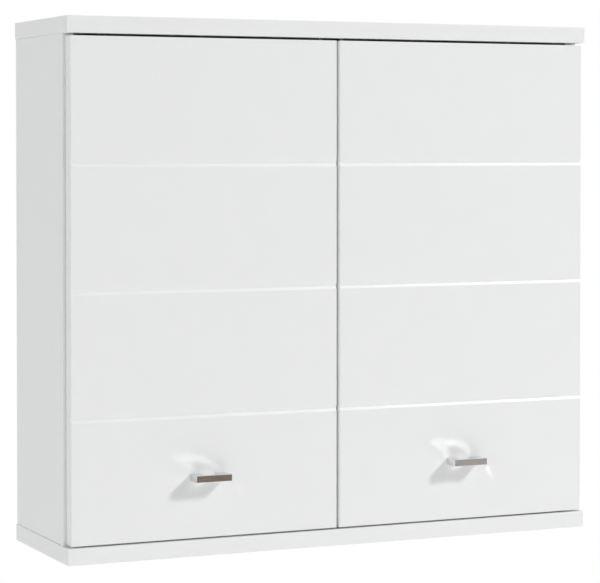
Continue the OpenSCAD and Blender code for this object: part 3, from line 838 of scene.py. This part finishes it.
# The way from a side board into the cabinet
def inward(point):
    return Vector((-1 if point.x > 0 else 1, 0, 0))


upwards = Vector((0, 0, 1))
toWall = Vector((0, 1, 0))
toRoom = Vector((0, -1, 0))


# Spots at the head end of each screw in a node, for a head of that height
def headSpots(node, ahead, headHeight):
    spots = []
    for low, high in solidsOf(node):
        centre = (low + high) / 2
        way = inward(centre) if ahead is None else ahead
        half = sum(abs(way[k]) * (high[k] - low[k]) / 2 for k in range(3))
        spots.append((centre + way * (half - headHeight * mm), way, upwards))
    return spots


# Spots at the lowest end of each upright solid in a node
def footSpots(node):
    return [(Vector(((low.x + high.x) / 2, (low.y + high.y) / 2, low.z)), upwards, toWall)
            for low, high in solidsOf(node)]


screwSet = {
    "hinge_plate_screws": {"head": 3.6, "height": 1.8, "shank": 2.4, "length": 11, "seed": 3},
    "hinge_arm_screws": {"head": 3.4, "height": 1.6, "shank": 2.4, "length": 11.8, "seed": 5},
    "cup_screws": {"head": 3.2, "height": 1.6, "shank": 1.6, "length": 11, "seed": 7},
    "handle_screws": {"head": 4.0, "height": 2.2, "shank": 1.95, "length": 28, "seed": 11},
    "hanger_screws": {"head": 4.2, "height": 3.0, "shank": 3.0, "length": 9, "seed": 13},
}


# One mesh of a node's screws, each turned by its own angle
def makeScrews(node, kind, body, ahead, name):
    size = screwSet[kind]
    unit = panScrew(size["head"], size["height"], size["shank"], size["length"])
    spots = headSpots(node, ahead, size["height"])
    screws = copies(name, unit, spots, "nickel_steel", 2 * math.pi, size["seed"])
    install(screws, body, "nickel_steel", node)


makeScrews("hinge_plate_screws", "hinge_plate_screws", "carcass", None, "hingePlateScrews")
makeScrews("hinge_arm_screws", "hinge_arm_screws", "carcass", None, "hingeArmScrews")
for side in ("left", "right"):
    makeScrews(side + "_cup_screws", "cup_screws", side + "_door", toWall, side + "CupScrews")
    makeScrews(side + "_handle_screws", "handle_screws", side + "_door", toWall,
               side + "HandleScrews")
    makeScrews(side + "_hanger_screws", "hanger_screws", "carcass", toRoom, side + "HangerScrews")
print("screws made")

# Domed caps that cover the cams
capSet = {"radius": 8.5, "height": 1.2, "rim": 0.1, "shoulder": 0.3}
radius = capSet["radius"]
height = capSet["height"]
capUnit = latheUnit("capUnit", [
    (0, 0), (radius - capSet["rim"], 0), (radius, capSet["rim"]), (radius, height * 0.4),
    (radius - capSet["shoulder"], height * 0.72), (radius * 0.8, height * 0.92),
    (radius * 0.4, height), (0, height),
])
caps = copies("camCaps", capUnit, headSpots("cam_caps", None, height), "white_plastic")
install(caps, "carcass", "white_plastic", "cam_caps")

# Cams with a cross recess, behind the caps
camSet = {"radius": 7.4, "depth": 12, "head": 1.2}
camUnit = panScrew(camSet["radius"], camSet["head"], camSet["radius"], camSet["depth"] - camSet["head"])
cams = copies("camLocks", camUnit, headSpots("cam_locks", None, camSet["head"]), "zinc_alloy")
install(cams, "carcass", "zinc_alloy", "cam_locks")

# Bolts that the cams pull on: a coarse thread, a plain shank, a neck and a round head
boltSet = {"head": 3.4, "shank": 2.9, "thread": 2.45, "root": 1.8, "neck": 1.9,
           "turns": 6, "pitch": 1.45, "firstTurn": 1.2, "rise": 0.7}
profile = [(0, 0), (1.2, 0), (boltSet["neck"], 0.6)]
for i in range(boltSet["turns"]):
    z = boltSet["firstTurn"] + boltSet["pitch"] * i
    profile += [(boltSet["root"], z), (boltSet["thread"], z + boltSet["rise"])]
profile += [(boltSet["root"], 10.0), (boltSet["root"], 10.6), (boltSet["shank"], 10.8),
            (boltSet["shank"], 28.5), (boltSet["neck"], 29.2), (boltSet["neck"], 31.5),
            (boltSet["head"], 32.2), (boltSet["head"], 34.6), (2.4, 35.5), (0, 35.5)]
boltUnit = latheUnit("boltUnit", profile)
spots = []
for low, high in solidsOf("cam_bolts"):
    middle = (low + high) / 2
    lowEnd = middle.z < (cadLow.z + cadHigh.z) / 2
    way = upwards if lowEnd else -upwards
    spots.append((Vector((middle.x, middle.y, low.z if lowEnd else high.z)), way, toWall))
bolts = copies("camBolts", boltUnit, spots, "nickel_steel")
install(bolts, "carcass", "nickel_steel", "cam_bolts")

dowelSet = {"radius": 4, "half": 14, "flutes": 12, "flute": 0.22, "chamfer": 1.2, "tip": 0.82}


# Fluted dowels with chamfered ends
def makeDowelUnit():
    bm = bmesh.new()
    rings = []
    half = dowelSet["half"]
    count = dowelSet["flutes"] * 4
    for height, grow in ((-half, dowelSet["tip"]), (-half + dowelSet["chamfer"], 1),
                         (half - dowelSet["chamfer"], 1), (half, dowelSet["tip"])):
        ring = []
        for i in range(count):
            angle = 2 * math.pi * i / count
            depth = dowelSet["flute"] if i % 4 == 0 else 0
            reach = (dowelSet["radius"] - depth) * grow * mm
            ring.append(bm.verts.new((reach * math.cos(angle), reach * math.sin(angle), height * mm)))
        rings.append(ring)
    for lower, upper in zip(rings, rings[1:]):
        for i in range(count):
            j = (i + 1) % count
            bm.faces.new((lower[i], lower[j], upper[j], upper[i]))
    bm.faces.new(rings[0])
    bm.faces.new(rings[-1])
    bmesh.ops.recalc_face_normals(bm, faces=bm.faces)
    smoothShade(bm)
    return newPiece("dowelUnit", bm)


spots = [((low + high) / 2, upwards, toWall) for low, high in solidsOf("wood_dowels")]
dowels = copies("woodDowels", makeDowelUnit(), spots, "beech")
install(dowels, "carcass", "beech", "wood_dowels")

# Stop pins that hang from the top board behind the doors
pinLow, pinHigh = solidsOf("door_stop_pins")[0]
length = (pinHigh.z - pinLow.z) / mm
stopUnit = latheUnit("stopUnit", [(0, 0), (1.2, 0.05), (1.75, 0.35), (2, 0.9), (2, length - 0.5),
                                  (1.6, length), (0, length)], 32)
stops = copies("doorStopPins", stopUnit, footSpots("door_stop_pins"), "white_plastic")
install(stops, "carcass", "white_plastic", "door_stop_pins")

shelfPinSet = {
    "outline": [(0, -9), (1.9, -9), (2.45, -8.4), (2.45, 0), (3, 0), (3, 1), (2.45, 1.15),
                (2.45, 8.6), (2.1, 9), (0, 9)],
    "half": 4, "length": 9, "thick": 3, "corner": 1.2,  # of the tab
    "clear": 0.02,  # keeps the tab's faces off the collar's, for a clean join
    "edge": 0.25, "steps": 2, "shortest": 2.5, "corners": 32,
}


# Shelf pins: a turned peg and collar with a pressed flat tab. Its Z goes into the cabinet.
def makeShelfPinUnit():
    pin = latheUnit("shelfPinUnit", shelfPinSet["outline"], shelfPinSet["corners"])
    clear = shelfPinSet["clear"] * mm
    half = shelfPinSet["half"] * mm
    corner = shelfPinSet["corner"] * mm
    cornerY = shelfPinSet["length"] * mm - corner
    outline = arcPoints(half - corner, cornerY, corner, 0, 90)
    outline += arcPoints(corner - half, cornerY, corner, 90, 180)
    outline += [(-half, clear), (half, clear)]
    tab = newPiece("tabUnit", prismMesh(outline, clear, shelfPinSet["thick"] * mm))
    tab.data.transform(Matrix(((1, 0, 0, 0), (0, 0, 1, 0), (0, 1, 0, 0), (0, 0, 0, 1))))
    tab.data.flip_normals()  # swapping two axes turned the tab inside out
    join = pin.modifiers.new("join", "BOOLEAN")
    join.operation = "UNION"
    join.solver = "EXACT"
    join.object = tab
    settle(pin)
    bpy.data.objects.remove(tab)
    return softenEdges(pin, shelfPinSet["edge"], shelfPinSet["steps"],
                       longerThan(shelfPinSet["shortest"]), True)


spots = []
for low, high in solidsOf("shelf_pins"):
    middle = (low + high) / 2
    foot = low.z + shelfPinSet["thick"] * mm
    spots.append((Vector((middle.x, middle.y, foot)), inward(middle), upwards))
pins = copies("shelfPins", makeShelfPinUnit(), spots, "nickel_steel")
install(pins, "carcass", "nickel_steel", "shelf_pins")

# Hinge pins with riveted ends, and the soft domes that the doors close on
hingePinSet = {"radius": 1.2, "chamfer": 0.4, "corners": 24}
bumperSet = {
    "height": 1.6,
    "outline": [(0, 0), (3.9, 0), (4, 0.15), (3.95, 0.5), (3.6, 0.95), (2.8, 1.35), (1.5, 1.56), (0, 1.6)],
}
for side in ("left", "right"):
    pinLow, pinHigh = solidsOf(side + "_hinge_pins")[0]
    length = (pinHigh.z - pinLow.z) / mm
    radius = hingePinSet["radius"]
    chamfer = hingePinSet["chamfer"]
    pinUnit = latheUnit("hingePinUnit", [
        (0, 0), (radius - chamfer, 0), (radius, chamfer), (radius, length - chamfer),
        (radius - chamfer, length), (0, length),
    ], hingePinSet["corners"])
    hingePins = copies(side + "HingePins", pinUnit, footSpots(side + "_hinge_pins"), "zinc_alloy")
    install(hingePins, side + "_door", "zinc_alloy", side + "_hinge_pins")
    domeUnit = latheUnit("bumperUnit", bumperSet["outline"])
    spots = headSpots(side + "_bumper", toWall, bumperSet["height"])
    bumper = copies(side + "Bumper", domeUnit, spots, "clear_rubber")
    install(bumper, side + "_door", "clear_rubber", side + "_bumper")
print("pins, caps and dowels made")

# Pressed and moulded fittings keep their own outlines, with their edges eased
pressed = {"edge": 0.3, "steps": 2, "shortest": 1.5, "corner": 3, "thickest": 2.5}
eased = {"steps": 3, "shortest": 2}
for side in ("left", "right"):
    for place in ("upper", "lower"):
        pair = side + "_" + place
        title = side + place.capitalize()
        for node, name, body in [(pair + "_hinge_plate", title + "HingePlate", "carcass"),
                                 (pair + "_hinge_arm", title + "HingeArm", "carcass"),
                                 (pair + "_hinge_cup", title + "HingeCup", side + "_door")]:
            piece = copyOf(node, name)
            if "arm" not in node:
                roundCorners(piece, pressed["corner"], pressed["thickest"])
            softenEdges(piece, pressed["edge"], pressed["steps"], longerThan(pressed["shortest"]), True)
            install(piece, body, "nickel_steel", node)
    for node, name, slot, edge in [("_hanger_housing", "HangerHousing", "white_plastic", 0.6),
                                   ("_hanger_cover", "HangerCover", "white_plastic", 0.5),
                                   ("_hanger_hook", "HangerHook", "nickel_steel", 0.3),
                                   ("_wall_plate", "WallPlate", "galvanised_steel", 0.3)]:
        piece = copyOf(side + node, side + name)
        softenEdges(piece, edge, eased["steps"], longerThan(eased["shortest"]), True)
        install(piece, "carcass", slot, side + node)
print("hinges, hangers and wall plates made")
